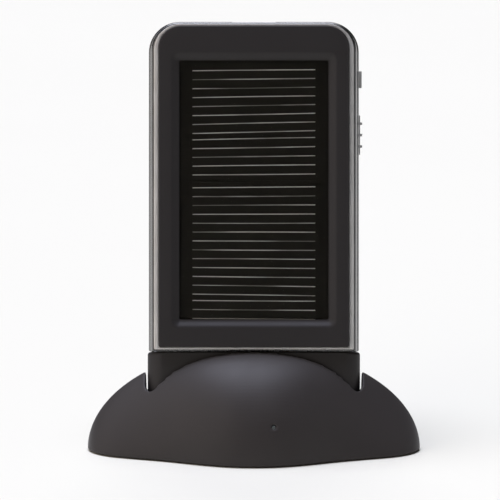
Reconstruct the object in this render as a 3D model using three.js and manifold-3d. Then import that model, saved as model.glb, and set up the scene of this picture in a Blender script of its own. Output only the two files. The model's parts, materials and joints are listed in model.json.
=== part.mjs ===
// Solar phone charger: a slim solar power pack that stands, leaning back a little, in a domed charging dock.
// Millimetres, +Z up, +X to the right of someone who faces the solar panel, which looks towards -Y.
// The origin is the middle of the object's footprint, on the surface that it stands on.
import * as THREE from "three";
import { mergeVertices } from "three/addons/utils/BufferGeometryUtils.js";
import Module from "manifold-3d";

// ---------------------------------------------------------------- driving dimensions
const LEAN = THREE.MathUtils.degToRad(10); // how far the pack leans back from upright
const PACK_FOOT = { y: -1, z: 9.4 }; // where the bottom of the pack stands inside the dock
const GAP = 0.15; // clearance between pieces that touch

// The pack's own frame: u is its width, v runs from the solar side to the rear, w runs up its length.
const PACK = { half: 30.5, height: 115, corner: 9, front: -5.8, rear: 5.8 };
const SEAM = { w: 19.33, half: 0.14 }; // where the metal body meets the bottom cap, and half the gap there
const SHELL = { half: 29.9, top: PACK.height - 0.6, corner: 8.4, wall: 1.2, rear: -1.9 };
const FACE_MARGIN = { top: 0.4, corner: 0.8 }; // of the inset at the sides
const RIB = { inner: 27.65, outer: 28.75, height: 0.4 }; // the low rib round the solar panel's seat
const SKIRT = { outer: 1.3, inner: 2.3, rear: -0.2 }; // insets from the shell's side
const BAND = { front: -1.75, wall: 1.5 };
const NECK = { half: 26.5, low: SEAM.w - 1, high: SEAM.w + 2.5 }; // the way from the body into the cap
const CAP = { half: 30.75, depth: 6, edge: 4.6, corner: 9, topCorner: 0.8, wall: 1.8 };
const FRAME = { half: 27.5, low: 20.75, high: 113.4, corner: 6.5, front: -8.7, rear: -5.9 };
const WINDOW = { half: 21.5, low: 28.8, high: 103.4, bevel: 2.4, bevelDepth: 0.95, rebate: 1.5 };
const PANE = { front: -7.35, rear: -6.85, clearance: 0.2 };
const CELLS = { half: 17.9, rear: -6.5, front: -6.75, joints: [102.6, 81.85, 68.8, 35.05, 28.1] };
const COVER = { front: 4.7, rear: 5.95, inset: 1.8 };
const BOARD = { half: 26, low: 73, high: 104.5, front: -2.4, rear: -1.4 };
const KEYS = { v: 1.6, inner: 27.95, buttonLow: 95.85, buttonHigh: 100.7, knobLow: 76.5, knobHigh: 87.9 };
const STEM = { half: 0.5, low: 81, high: 83.4, travel: 2, play: 0.3 }; // of the knob, in the band's slot
const BATTERY = { half: 20, front: -4.3, rear: 2.2, low: 26, high: 70 };
const SOCKET_SCREWS = [-17.5, 17.5];
const USB = { half: 6.55, front: -1.3, rear: 4.4, low: 100.2, high: 113.35 };
const LIGHT_PIPES = { w: 92, pitch: 6, radius: 0.9, count: 4 };
const REAR_SCREWS = [
  [-25.2, 108.3],
  [25.2, 108.3],
  [-25.2, 25.5],
  [25.2, 25.5],
];

// The dock is a dome: seen from the front its ridge is half an ellipse, and seen from above it is a pair of
// slim wings with a round belly in the middle.
const DOME = { half: 48.35, height: 30.3, wall: 2, rim: 0.4 };
const BELLY = {
  front: { wing: 12.8, belly: 10.8, reach: 24, power: 2.3 },
  rear: { wing: 11.3, belly: 12.2, reach: 23, power: 2.6 },
};
const POCKET = { half: 31.2, depth: 6.9, corner: 2.4, floor: -0.3, wall: 1.6, floorWall: 1.4 };
const PLATE = { top: 1.9, inset: DOME.wall + 0.3 };
const DOCK_BOARD = { low: 4.6, high: 5.6 };
const FEET = [
  [-39, 0],
  [39, 0],
  [-9, -16.3],
  [9, -16.3],
  [-9, 16.2],
  [9, 16.2],
];
const FOOT = { radius: 3.6, height: 1 };
const DOCK_SCREWS = [
  [-20, -13],
  [20, -13],
  [-20, 12.4],
  [20, 12.4],
];
const STATUS_LIGHT = { x: 5.6, z: 11.4, radius: 0.5 };
const INLET = { half: 3.85, low: 5.75, high: 9.65, mouth: 22, rear: 13.5 };

const CORNER_STEPS = 6;
const ROUND_SIDES = 14;

// ---------------------------------------------------------------- materials
const finish = (color, roughness, metalness) =>
  new THREE.MeshStandardMaterial({ color, roughness, metalness });
const SOFT_BLACK = finish(0x2b292a, 0.62, 0);
const DOCK_BLACK = finish(0x3a383b, 0.58, 0);
const SATIN_METAL = finish(0x9b9995, 0.34, 1);
const POLISHED_METAL = finish(0xc8c8c6, 0.14, 1);
const CLEAR = finish(0x20201e, 0.08, 0);
CLEAR.transparent = true;
CLEAR.opacity = 0.35;
const CELL = finish(0x13120f, 0.3, 0);
const BOARD_BLACK = finish(0x14130f, 0.5, 0);
const BOARD_GREEN = finish(0x1d4a2c, 0.5, 0);
const STEEL = finish(0x8c8c8a, 0.35, 1);
const BRASS = finish(0xb08d4a, 0.35, 1);
const RUBBER = finish(0x1a1a1a, 0.85, 0);
const FOAM = finish(0x303030, 0.95, 0);
const POUCH = finish(0xb9bcc0, 0.4, 0.6);
const MILKY = finish(0xd8dcdc, 0.3, 0);
const RED_WIRE = finish(0xa01c18, 0.5, 0);
const BLACK_WIRE = finish(0x151515, 0.5, 0);
const FLEX = finish(0x8a5a1e, 0.45, 0);

// ---------------------------------------------------------------- solids
const wasm = await Module();
wasm.setup();

/** A closed three.js geometry as a manifold-3d solid. */
function solidOf(geometry) {
  const source = geometry.index ? geometry.toNonIndexed() : geometry;
  const plain = new THREE.BufferGeometry();
  plain.setAttribute("position", source.getAttribute("position"));
  const merged = mergeVertices(plain);
  const mesh = new wasm.Mesh({
    numProp: 3,
    vertProperties: merged.attributes.position.array,
    triVerts: new Uint32Array(merged.index.array),
  });
  return new wasm.Manifold(mesh);
}

function geometryOf(solid) {
  const mesh = solid.getMesh();
  const geometry = new THREE.BufferGeometry();
  geometry.setAttribute("position", new THREE.BufferAttribute(mesh.vertProperties, 3));
  geometry.setIndex(new THREE.BufferAttribute(mesh.triVerts, 1));
  geometry.computeVertexNormals();
  return geometry;
}

/** The base with some geometries joined to it, and then others cut out of it. */
function combine(base, { join = [], cut = [] }) {
  let solid = solidOf(base);
  for (const piece of join) {
    solid = solid.add(solidOf(piece));
  }
  for (const piece of cut) {
    solid = solid.subtract(solidOf(piece));
  }
  return geometryOf(solid);
}

/** A box from its lowest to its highest corner, as [low, high] along each axis. */
function box([x0, x1], [y0, y1], [z0, z1]) {
  const geometry = new THREE.BoxGeometry(x1 - x0, y1 - y0, z1 - z0);
  return geometry.translate((x0 + x1) / 2, (y0 + y1) / 2, (z0 + z1) / 2);
}

/** A round rod along one axis: centre gives its place on the other two axes. */
function rod(axis, radius, [low, high], centre, sides = ROUND_SIDES) {
  const geometry = new THREE.CylinderGeometry(radius, radius, high - low, sides);
  geometry.translate(0, (low + high) / 2, 0);
  if (axis === "x") {
    return geometry.rotateZ(-Math.PI / 2).translate(0, centre[0], centre[1]);
  }
  if (axis === "z") {
    return geometry.rotateX(Math.PI / 2).translate(centre[0], centre[1], 0);
  }
  return geometry.translate(centre[0], 0, centre[1]);
}

/** Joins rings with the same number of points into one closed body: capped at both ends, or looped. */
function loft(rings, looped = false) {
  const count = rings[0].length;
  const index = [];
  const spans = looped ? rings.length : rings.length - 1;
  for (let ring = 0; ring < spans; ring++) {
    const a = ring * count;
    const b = ((ring + 1) % rings.length) * count;
    for (let i = 0; i < count; i++) {
      const j = (i + 1) % count;
      index.push(a + i, a + j, b + j, a + i, b + j, b + i);
    }
  }
  if (!looped) {
    const last = (rings.length - 1) * count;
    for (let i = 1; i < count - 1; i++) {
      index.push(0, i + 1, i, last, last + i, last + i + 1);
    }
  }
  const geometry = new THREE.BufferGeometry();
  geometry.setAttribute("position", new THREE.Float32BufferAttribute(rings.flat(2), 3));
  geometry.setIndex(facingOut(rings.flat(), index));
  geometry.computeVertexNormals();
  return geometry;
}

/** The index with its triangles turned round if they enclose a negative volume. */
function facingOut(points, index) {
  let volume = 0;
  for (let i = 0; i < index.length; i += 3) {
    const [a, b, c] = [0, 1, 2].map((k) => new THREE.Vector3(...points[index[i + k]]));
    volume += a.dot(b.cross(c));
  }
  return volume < 0 ? index.reverse() : index;
}

/** Points of a rectangle with round corners, counter-clockwise, as [across, up]. */
function roundedRectangle(half, low, high, topRadius, footRadius) {
  const corners = [
    [half - footRadius, low + footRadius, footRadius, -90],
    [half - topRadius, high - topRadius, topRadius, 0],
    [topRadius - half, high - topRadius, topRadius, 90],
    [footRadius - half, low + footRadius, footRadius, 180],
  ];
  return corners.flatMap(([across, up, radius, start]) =>
    Array.from({ length: CORNER_STEPS + 1 }, (_, i) => {
      const angle = THREE.MathUtils.degToRad(start + (90 * i) / CORNER_STEPS);
      return [across + radius * Math.cos(angle), up + radius * Math.sin(angle)];
    }),
  );
}

/** A rounded rectangle in the pack's u-w plane, at depth v. */
function level(v, half, low, high, topRadius, footRadius) {
  return roundedRectangle(half, low, high, topRadius, footRadius).map(([u, w]) => [u, v, w]);
}

// ---------------------------------------------------------------- pack: casings
/** An outline of the metal body: inset from the shell's sides and top, raised from the seam by lift. */
function shellLevel(v, inset, lift = 0) {
  const low = SEAM.w + SEAM.half + lift;
  return level(v, SHELL.half - inset, low, SHELL.top - inset, SHELL.corner - inset, 0.4);
}

/** The same for the front of the face plate, whose margin is narrower along its top edge. */
function faceLevel(v, inset, lift) {
  const low = SEAM.w + SEAM.half + lift;
  const top = SHELL.top - FACE_MARGIN.top * inset;
  return level(v, SHELL.half - inset, low, top, SHELL.corner - FACE_MARGIN.corner * inset, 0.4);
}

function bandLevel(v, inset, lift = 0) {
  const low = SEAM.w + SEAM.half + lift;
  return level(v, PACK.half - inset, low, PACK.height - inset, PACK.corner - inset, 0.4);
}

/**
 * The satin face plate: a low rib round the panel's seat, a fine groove and a rounded shoulder in front,
 * and a skirt that fits inside the band and four screw bosses behind.
 */
function frontShell() {
  const rib = { inner: SHELL.half - RIB.inner, outer: SHELL.half - RIB.outer };
  const ribFront = PACK.front - RIB.height;
  const shoulder = Array.from({ length: 5 }, (_, i) => {
    const angle = (Math.PI / 2) * (0.12 + (0.88 * i) / 4);
    return faceLevel(-2.4 - 3.5 * Math.cos(angle), 1 - Math.sin(angle), 0.15 * Math.cos(angle));
  });
  const inside = PACK.front + SHELL.wall;
  const tray = loft([
    faceLevel(PACK.front, rib.inner, 1.13),
    faceLevel(ribFront + 0.05, rib.inner - 0.02, 1.12),
    faceLevel(ribFront, rib.inner - 0.08, 1.1),
    faceLevel(ribFront, rib.outer + 0.1, 0.85),
    faceLevel(ribFront + 0.1, rib.outer, 0.8),
    faceLevel(PACK.front + 0.05, rib.outer - 0.05, 0.75),
    ...shoulder,
    shellLevel(SHELL.rear, 0),
    shellLevel(SHELL.rear, SKIRT.outer, 1.3),
    shellLevel(SKIRT.rear, SKIRT.outer, 1.3),
    shellLevel(SKIRT.rear, SKIRT.inner, 2),
    shellLevel(inside, SKIRT.inner, 2),
  ]);
  const bosses = REAR_SCREWS.map((place) => rod("y", 1.9, [inside - 0.5, COVER.front - GAP], place));
  const screwHoles = REAR_SCREWS.map((place) => rod("y", 0.9, [-3.5, 8], place));
  const usbSide = USB.half + 0.35;
  const usbNotch = box([-usbSide, usbSide], [USB.front - 0.3, 1], [110.5, SHELL.top + 2]);
  const neck = box([-NECK.half, NECK.half], [inside + 0.05, 1], [NECK.low, NECK.high]);
  const leadHole = box([-2.6, 2.6], [-7, -4], [96.8, 99.2]);
  return combine(tray, { join: bosses, cut: [...screwHoles, usbNotch, neck, leadHole] });
}

/** The polished band round the sides, with the holes for the key, the switch and the output socket. */
function sideBand() {
  const ring = loft(
    [
      bandLevel(BAND.front, 0.55),
      bandLevel(-0.9, 0.15),
      bandLevel(0.2, 0),
      bandLevel(3.4, 0),
      bandLevel(4.9, 0.2),
      bandLevel(PACK.rear, 0.9),
      bandLevel(PACK.rear, BAND.wall, 1),
      bandLevel(BAND.front, BAND.wall, 1),
    ],
    true,
  );
  const through = [27, 33];
  const slot = [STEM.low - STEM.play, STEM.high + STEM.travel + STEM.play];
  return combine(ring, {
    cut: [
      box([-6.3, 6.3], [USB.front + 0.2, USB.rear - 0.2], [110, 120]),
      box(through, [KEYS.v - 1.15, KEYS.v + 1.15], [KEYS.buttonLow - GAP, KEYS.buttonHigh + GAP]),
      box(through, [KEYS.v - 0.75, KEYS.v + 0.75], slot),
      box([-NECK.half, NECK.half], [-3, 3.5], [NECK.low, NECK.high]),
    ],
  });
}

/** The rear cover, with counterbored screw holes and four round windows for the charge lights. */
function rearCover() {
  const plate = loft([
    bandLevel(COVER.front, COVER.inset, 1.4),
    bandLevel(COVER.rear - 0.35, COVER.inset, 1.4),
    bandLevel(COVER.rear, COVER.inset + 0.35, 1.75),
  ]);
  return combine(plate, {
    cut: [
      ...REAR_SCREWS.map((place) => rod("y", 1, [3, 8], place)),
      ...REAR_SCREWS.map((place) => rod("y", 1.75, [COVER.rear - 0.75, 8], place)),
      ...lightPipePlaces().map((place) => rod("y", LIGHT_PIPES.radius + 0.15, [3, 8], place)),
    ],
  });
}

function lightPipePlaces() {
  const first = (-(LIGHT_PIPES.count - 1) / 2) * LIGHT_PIPES.pitch;
  return Array.from({ length: LIGHT_PIPES.count }, (_, i) => [first + i * LIGHT_PIPES.pitch, LIGHT_PIPES.w]);
}

/** The bottom cap: a pillow-edged cup with two tongues that snap in behind the face plate. */
function bottomCap() {
  const steps = 4;
  const high = SEAM.w - SEAM.half;
  const side = (sign) =>
    Array.from({ length: steps + 1 }, (_, i) => {
      const angle = (Math.PI / 2) * (sign < 0 ? 1 - i / steps : i / steps);
      const inset = CAP.edge * (1 - Math.cos(angle));
      const v = sign * (CAP.depth - CAP.edge + CAP.edge * Math.sin(angle));
      return level(v, CAP.half - inset, inset, high, CAP.topCorner, CAP.corner - inset);
    });
  const body = loft([...side(-1), ...side(1)]);
  const cavityHalf = CAP.half - CAP.wall - 1.2;
  const cavityDepth = CAP.depth - CAP.wall;
  const cavity = loft([
    level(-cavityDepth, cavityHalf, 2, SEAM.w + 5, 0.5, 7),
    level(cavityDepth, cavityHalf, 2, SEAM.w + 5, 0.5, 7),
  ]);
  const mouth = box([-11, 11], [-1.75, 1.75], [-2, 4]);
  const screwHoles = SOCKET_SCREWS.map((u) => rod("z", 0.9, [-2, 4], [u, 0]));
  const headHoles = SOCKET_SCREWS.map((u) => rod("z", 1.5, [-2, 0.9], [u, 0]));
  const hollow = combine(body, { cut: [cavity, mouth, ...screwHoles, ...headHoles] });
  const tongues = [-1, 1].map((sign) =>
    box([sign * 17 - 4, sign * 17 + 4], [-cavityDepth - 0.2, -3.2], [12, SEAM.w + 4.6]),
  );
  return combine(hollow, { join: tongues });
}

// ---------------------------------------------------------------- pack: solar panel
/** The black picture frame round the panel, with a bevelled opening and a rebate behind it. */
function solarFrame() {
  const outer = (v, inset) =>
    level(v, FRAME.half - inset, FRAME.low + inset, FRAME.high - inset, FRAME.corner - inset, 0.7 - inset);
  const opening = (v, grow, radius) =>
    level(v, WINDOW.half + grow, WINDOW.low - grow, WINDOW.high + grow, radius, radius);
  const bevelFoot = FRAME.front + WINDOW.bevelDepth;
  return loft(
    [
      outer(FRAME.rear, 0),
      outer(FRAME.front + 0.6, 0),
      outer(FRAME.front + 0.18, 0.18),
      outer(FRAME.front, 0.6),
      opening(FRAME.front, WINDOW.bevel, 2.4),
      opening(bevelFoot, 0, 0.5),
      opening(bevelFoot + 0.3, 0, 0.5),
      opening(bevelFoot + 0.3, WINDOW.rebate, 0.6),
      opening(FRAME.rear, WINDOW.rebate, 0.6),
    ],
    true,
  );
}

function windowPane() {
  const grow = WINDOW.rebate - PANE.clearance;
  const half = WINDOW.half + grow;
  return box([-half, half], [PANE.front, PANE.rear], [WINDOW.low - grow, WINDOW.high + grow]);
}

function panelBoard() {
  return box([-22.5, 22.5], [-6.4, -5.98], [27.7, 104.5]);
}

function solarCell(number) {
  const [high, low] = [CELLS.joints[number - 1], CELLS.joints[number]];
  return box([-CELLS.half, CELLS.half], [CELLS.front, CELLS.rear], [low + 0.05, high - 0.05]);
}

// ---------------------------------------------------------------- pack: inside
/** The circuit board, with notched top corners below the screw bosses. */
function mainBoard() {
  const board = box([-BOARD.half, BOARD.half], [BOARD.front, BOARD.rear], [BOARD.low, BOARD.high]);
  const notches = [-1, 1].map((sign) =>
    box([sign * 25 - 2, sign * 25 + 2], [-4, 0], [BOARD.high - 1.5, BOARD.high + 1]),
  );
  return combine(board, { cut: notches });
}

function battery() {
  return box([-BATTERY.half, BATTERY.half], [BATTERY.front, BATTERY.rear], [BATTERY.low, BATTERY.high]);
}

function batteryPad() {
  return box([-14, 7.5], [BATTERY.rear + GAP, COVER.front - GAP], [BATTERY.low + 6, BATTERY.high - 6]);
}

/** The metal shell of the output socket, open at the top end of the pack. */
function usbShell() {
  const wall = 0.35;
  return combine(box([-USB.half, USB.half], [USB.front, USB.rear], [USB.low, USB.high]), {
    cut: [
      box(
        [wall - USB.half, USB.half - wall],
        [USB.front + wall, USB.rear - wall],
        [USB.low + 1, USB.high + 1],
      ),
    ],
  });
}

function usbInsert() {
  const block = box([-6, 6], [-0.8, 3.9], [USB.low + 1.1, USB.low + 4]);
  return combine(block, { join: [box([-5.5, 5.5], [1.9, 3.6], [USB.low + 2, USB.high - 0.6])] });
}

/** The pack's charging socket behind the mouth in the cap, with an ear at each end for its screw. */
function packSocket() {
  const body = box([-12.4, 12.4], [-2.8, 2.8], [2.2, 9.2]);
  const ears = box([-20.5, 20.5], [-2, 2], [2.2, 3.7]);
  const cavity = box([-10.9, 10.9], [-1.6, 1.6], [1, 8.2]);
  const screwHoles = SOCKET_SCREWS.map((u) => rod("z", 0.8, [0, 6], [u, 0]));
  return combine(body, { join: [ears], cut: [cavity, ...screwHoles] });
}

/** A pan-head screw along +axis: the head starts at start, and the shank ends at end. */
function screw(axis, start, end, headRadius, shankRadius, place) {
  const way = Math.sign(end - start);
  const headEnd = start + way * 0.55;
  const span = (a, b) => [Math.min(a, b), Math.max(a, b)];
  const head = rod(axis, headRadius, span(start, headEnd), place);
  return combine(head, { join: [rod(axis, shankRadius, span(headEnd - way * 0.1, end), place, 10)] });
}

/** The check key: a bar that shows in the band, on a flange that keeps it from falling out. */
function checkButton() {
  const mid = (KEYS.buttonLow + KEYS.buttonHigh) / 2;
  const bar = box([KEYS.inner, 31.3], [KEYS.v - 1, KEYS.v + 1], [KEYS.buttonLow, KEYS.buttonHigh]);
  const flange = box([KEYS.inner, 28.75], [KEYS.v - 1.45, KEYS.v + 1.45], [mid - 3.4, mid + 3.4]);
  return combine(bar, { join: [flange] });
}

/** The output switch's knob: a thin plate with three grip ribs, on a stem that runs in the band's slot. */
function slideKnob() {
  const mid = (KEYS.knobLow + KEYS.knobHigh) / 2;
  const plate = box([PACK.half + 0.06, 30.85], [KEYS.v - 1.1, KEYS.v + 1.1], [KEYS.knobLow, KEYS.knobHigh]);
  const ribs = [-1, 0, 1].map((i) =>
    box([30.8, 31.45], [KEYS.v - 1.1, KEYS.v + 1.1], [mid + i * 3.3 - 0.35, mid + i * 3.3 + 0.35]),
  );
  const stem = box([KEYS.inner, 30.7], [KEYS.v - STEM.half, KEYS.v + STEM.half], [STEM.low, STEM.high]);
  return combine(plate, { join: [...ribs, stem] });
}

/** The printed cable from the charging socket, up behind the battery, to the circuit board. */
function socketFlex() {
  const [left, right] = [8.2, 12.2];
  const thickness = 0.25;
  const route = [
    [9.4, 0],
    [12, 2.8],
    [71.5, 2.8],
    [75, -1.1],
    [79, -1.1],
  ];
  const rings = route.map(([w, v]) => [
    [left, v, w],
    [right, v, w],
    [right, v + thickness, w],
    [left, v + thickness, w],
  ]);
  return loft(rings);
}

function batteryLead(u) {
  const route = new THREE.CatmullRomCurve3([
    new THREE.Vector3(u, 0.2, 70.3),
    new THREE.Vector3(u, 0.35, 72),
    new THREE.Vector3(u, 0, 74),
    new THREE.Vector3(u, -0.75, 76),
  ]);
  const section = new THREE.Shape();
  section.absarc(0, 0, 0.45, 0, Math.PI * 2);
  return new THREE.ExtrudeGeometry(section, { extrudePath: route, steps: 6, curveSegments: 4 });
}

// ---------------------------------------------------------------- dock
/** How far the dome reaches from its ridge at x, towards side "front" or "rear", inset by a wall. */
function reach(x, side, inset = 0) {
  const { wing, belly, reach: spread, power } = BELLY[side];
  const across = Math.min(Math.abs(x) / (DOME.half - inset), 1);
  const wings = (wing - inset) * Math.sqrt(1 - across ** 6);
  return wings + belly * Math.exp(-((Math.abs(x) / spread) ** power));
}

/** The dome's cross-section at x is full in the middle and sharpens towards the wings. */
function sectionPower(x) {
  return 1.3 + 0.72 * Math.exp(-((Math.abs(x) / 26.5) ** 4));
}

/** The dome as a solid, from foot height up, shrunk by inset. */
function dome(inset, foot, stations, steps) {
  const half = DOME.half - inset;
  const rings = Array.from({ length: stations + 1 }, (_, i) => {
    const x = half * Math.sin(THREE.MathUtils.degToRad(-86 + (172 * i) / stations));
    const height = (DOME.height - inset) * Math.sqrt(1 - (x / half) ** 2);
    const exponent = 2 / sectionPower(x);
    return Array.from({ length: steps + 1 }, (__, j) => {
      const angle = (Math.PI * j) / steps;
      const along = Math.cos(angle);
      const side = along > 0 ? "front" : "rear";
      const y = -Math.sign(along) * reach(x, side, inset) * Math.abs(along) ** exponent;
      return [x, y, foot + (height - foot) * Math.sin(angle) ** exponent];
    });
  });
  return loft(rings);
}

const packFrame = new THREE.Matrix4()
  .makeRotationX(-LEAN)
  .setPosition(0, PACK_FOOT.y, PACK_FOOT.z);

/** A prism along the pack's length with the pocket's plan outline, grown by grow. */
function pocketPrism(grow, low, high) {
  const corner = POCKET.corner + grow;
  const depth = POCKET.depth + grow;
  const plan = roundedRectangle(POCKET.half + grow, -depth, depth, corner, corner);
  const prism = loft([low, high].map((w) => plan.map(([u, v]) => [u, v, w])));
  return prism.applyMatrix4(packFrame);
}

/** The dock's shell: a hollow dome with a leaning pocket, screw bosses, and holes for light and inlet. */
function dockShell() {
  const outer = solidOf(dome(0, DOME.rim, 34, 18));
  const inner = solidOf(dome(DOME.wall, -2, 26, 12));
  const cupFloor = POCKET.floor - POCKET.floorWall;
  const cup = solidOf(pocketPrism(POCKET.wall, cupFloor, 60)).intersect(outer);
  let shell = outer.subtract(inner).add(cup);
  for (const place of DOCK_SCREWS) {
    const boss = solidOf(rod("z", 2.5, [PLATE.top + GAP, 40], place)).intersect(outer);
    shell = shell.add(boss);
  }
  shell = shell.subtract(solidOf(pocketPrism(0, POCKET.floor, 60)));
  const cuts = [
    box([-11.2, 11.2], [-1.9, 1.9], [-4, 4]).applyMatrix4(packFrame),
    box([-INLET.half - 0.4, INLET.half + 0.4], [12.5, 40], [INLET.low - 0.4, INLET.high + 0.4]),
    rod("y", STATUS_LIGHT.radius + 0.1, [-40, -16], [STATUS_LIGHT.x, STATUS_LIGHT.z]),
    ...DOCK_SCREWS.map((place) => rod("z", 1.2, [0, 9], place)),
  ];
  for (const cut of cuts) {
    shell = shell.subtract(solidOf(cut));
  }
  return geometryOf(shell);
}

/** The plate that closes the dome from below, with countersinks for its screws and recesses for the feet. */
function basePlate() {
  const span = [-DOME.half, DOME.half];
  const inside = solidOf(dome(PLATE.inset, -2, 26, 12));
  const plate = inside.intersect(solidOf(box(span, span, [DOME.rim, PLATE.top])));
  return combine(geometryOf(plate), {
    cut: [
      ...DOCK_SCREWS.map((place) => rod("z", 1.2, [0, 4], place)),
      ...DOCK_SCREWS.map((place) => rod("z", 2.1, [-1, 1.25], place)),
      ...FEET.map((place) => rod("z", FOOT.radius + 0.1, [-1, FOOT.height + 0.05], place)),
    ],
  });
}

/** The dock's circuit board, with a tongue that carries the inlet. */
function dockBoard() {
  const thickness = [DOCK_BOARD.low, DOCK_BOARD.high];
  const tongue = box([-5.5, 5.5], [10, 20.3], thickness);
  return combine(box([-14, 14], [-15, 16], thickness), { join: [tongue] });
}

/** The plug's foot under the pocket's floor: a wedge between the level board and the leaning plug. */
function plugFoot() {
  const block = box([-10.8, 10.8], [-1.6, 1.6], [-6, -0.5]).applyMatrix4(packFrame);
  const room = box([-12, 12], [-8, 8], [DOCK_BOARD.high + 0.05, 14]);
  const blade = box([-9.8, 9.8], [-1.05, 1.05], [-1, 2]).applyMatrix4(packFrame);
  return geometryOf(solidOf(block).intersect(solidOf(room)).subtract(solidOf(blade)));
}

function plugBlade() {
  return box([-9.7, 9.7], [-0.95, 0.95], [-0.9, 5.6]).applyMatrix4(packFrame);
}

/** The inlet's metal shell, open at the rear of the dock. */
function inletSocket() {
  const body = box([-INLET.half, INLET.half], [INLET.rear, INLET.mouth], [INLET.low, INLET.high]);
  const cavity = box(
    [0.4 - INLET.half, INLET.half - 0.4],
    [INLET.rear + 1, INLET.mouth + 1],
    [INLET.low + 0.4, INLET.high - 0.4],
  );
  return combine(body, { cut: [cavity] });
}

function inletTongue() {
  return box([-2.6, 2.6], [INLET.rear + 1.1, INLET.mouth - 1.2], [7.3, 8.2]);
}

function statusLightPipe() {
  return rod("y", STATUS_LIGHT.radius, [-21.55, -17.2], [STATUS_LIGHT.x, STATUS_LIGHT.z]);
}

// ---------------------------------------------------------------- assembly
/** Adds one named mesh to a group. */
function add(group, name, geometry, material) {
  const mesh = new THREE.Mesh(geometry, material);
  mesh.name = name;
  group.add(mesh);
}

function buildPack() {
  const pack = new THREE.Group();
  add(pack, "front_shell", frontShell(), SATIN_METAL);
  add(pack, "side_band", sideBand(), POLISHED_METAL);
  add(pack, "rear_cover", rearCover(), SOFT_BLACK);
  add(pack, "bottom_cap", bottomCap(), SOFT_BLACK);
  add(pack, "solar_frame", solarFrame(), SOFT_BLACK);
  add(pack, "window_pane", windowPane(), CLEAR);
  add(pack, "panel_board", panelBoard(), BOARD_BLACK);
  for (let number = 1; number < CELLS.joints.length; number++) {
    add(pack, `solar_cell_${number}`, solarCell(number), CELL);
  }
  add(pack, "main_board", mainBoard(), BOARD_GREEN);
  add(pack, "battery", battery(), POUCH);
  add(pack, "battery_pad", batteryPad(), FOAM);
  add(pack, "usb_shell", usbShell(), STEEL);
  add(pack, "usb_insert", usbInsert(), BOARD_BLACK);
  add(pack, "pack_socket", packSocket(), BOARD_BLACK);
  add(pack, "socket_flex", socketFlex(), FLEX);
  add(pack, "key_contact", box([23.6, 27.4], [BOARD.rear + 0.1, 3.1], [96.2, 100.4]), STEEL);
  add(pack, "slide_contact", box([23.8, 27.4], [BOARD.rear + 0.1, 2.9], [77, 88]), STEEL);
  add(pack, "check_button", checkButton(), STEEL);
  add(pack, "slide_knob", slideKnob(), STEEL);
  lightPipePlaces().forEach((place, i) => {
    add(pack, `light_pipe_${i + 1}`, rod("y", LIGHT_PIPES.radius, [BOARD.rear + 0.3, 5.9], place), MILKY);
  });
  REAR_SCREWS.forEach((place, i) => {
    add(pack, `rear_screw_${i + 1}`, screw("y", COVER.rear - 0.1, -2, 1.6, 0.75, place), STEEL);
  });
  SOCKET_SCREWS.forEach((u, i) => {
    add(pack, `socket_screw_${i + 1}`, screw("z", 0.2, 5.2, 1.3, 0.65, [u, 0]), STEEL);
  });
  [-1.5, 1.5].forEach((u, i) => {
    const lead = rod("y", 0.45, [-5.95, BOARD.front - 0.05], [u, 98], 8);
    add(pack, `solar_lead_${i + 1}`, lead, i ? RED_WIRE : BLACK_WIRE);
  });
  [-5, 5].forEach((u, i) => {
    add(pack, `battery_lead_${i + 1}`, batteryLead(u), i ? RED_WIRE : BLACK_WIRE);
  });
  pack.rotation.x = -LEAN;
  pack.position.set(0, PACK_FOOT.y, PACK_FOOT.z);
  return pack;
}

function buildDock() {
  const dock = new THREE.Group();
  add(dock, "dock_shell", dockShell(), DOCK_BLACK);
  add(dock, "base_plate", basePlate(), SOFT_BLACK);
  add(dock, "ballast_plate", box([-35, 35], [-8, 7], [PLATE.top + 0.2, 4.4]), STEEL);
  add(dock, "dock_board", dockBoard(), BOARD_GREEN);
  add(dock, "plug_foot", plugFoot(), BOARD_BLACK);
  add(dock, "plug_blade", plugBlade(), BRASS);
  add(dock, "inlet_socket", inletSocket(), STEEL);
  add(dock, "inlet_tongue", inletTongue(), BOARD_BLACK);
  add(dock, "status_light_pipe", statusLightPipe(), MILKY);
  add(dock, "status_led", box([4.1, 7.1], [-17, -14.2], [DOCK_BOARD.high + 0.1, 12.8]), MILKY);
  FEET.forEach((place, i) => {
    add(dock, `foot_${i + 1}`, rod("z", FOOT.radius, [0, FOOT.height], place, 20), RUBBER);
  });
  DOCK_SCREWS.forEach((place, i) => {
    add(dock, `dock_screw_${i + 1}`, screw("z", 0.5, 8.2, 1.95, 1.05, place), STEEL);
  });
  return dock;
}

const charger = new THREE.Group();
charger.add(buildDock(), buildPack());
charger.updateMatrixWorld(true);
const middle = new THREE.Box3().setFromObject(charger, true).getCenter(new THREE.Vector3());
charger.children.forEach((part) => {
  part.position.x -= middle.x;
  part.position.y -= middle.y;
});

export default charger;
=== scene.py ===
"""Looks of the solar phone charger: a solar power pack with a polished band, standing in a domed dock."""

import json
import math

import bmesh
import bpy
from mathutils import Matrix, Vector
from mathutils.bvhtree import BVHTree


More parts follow.
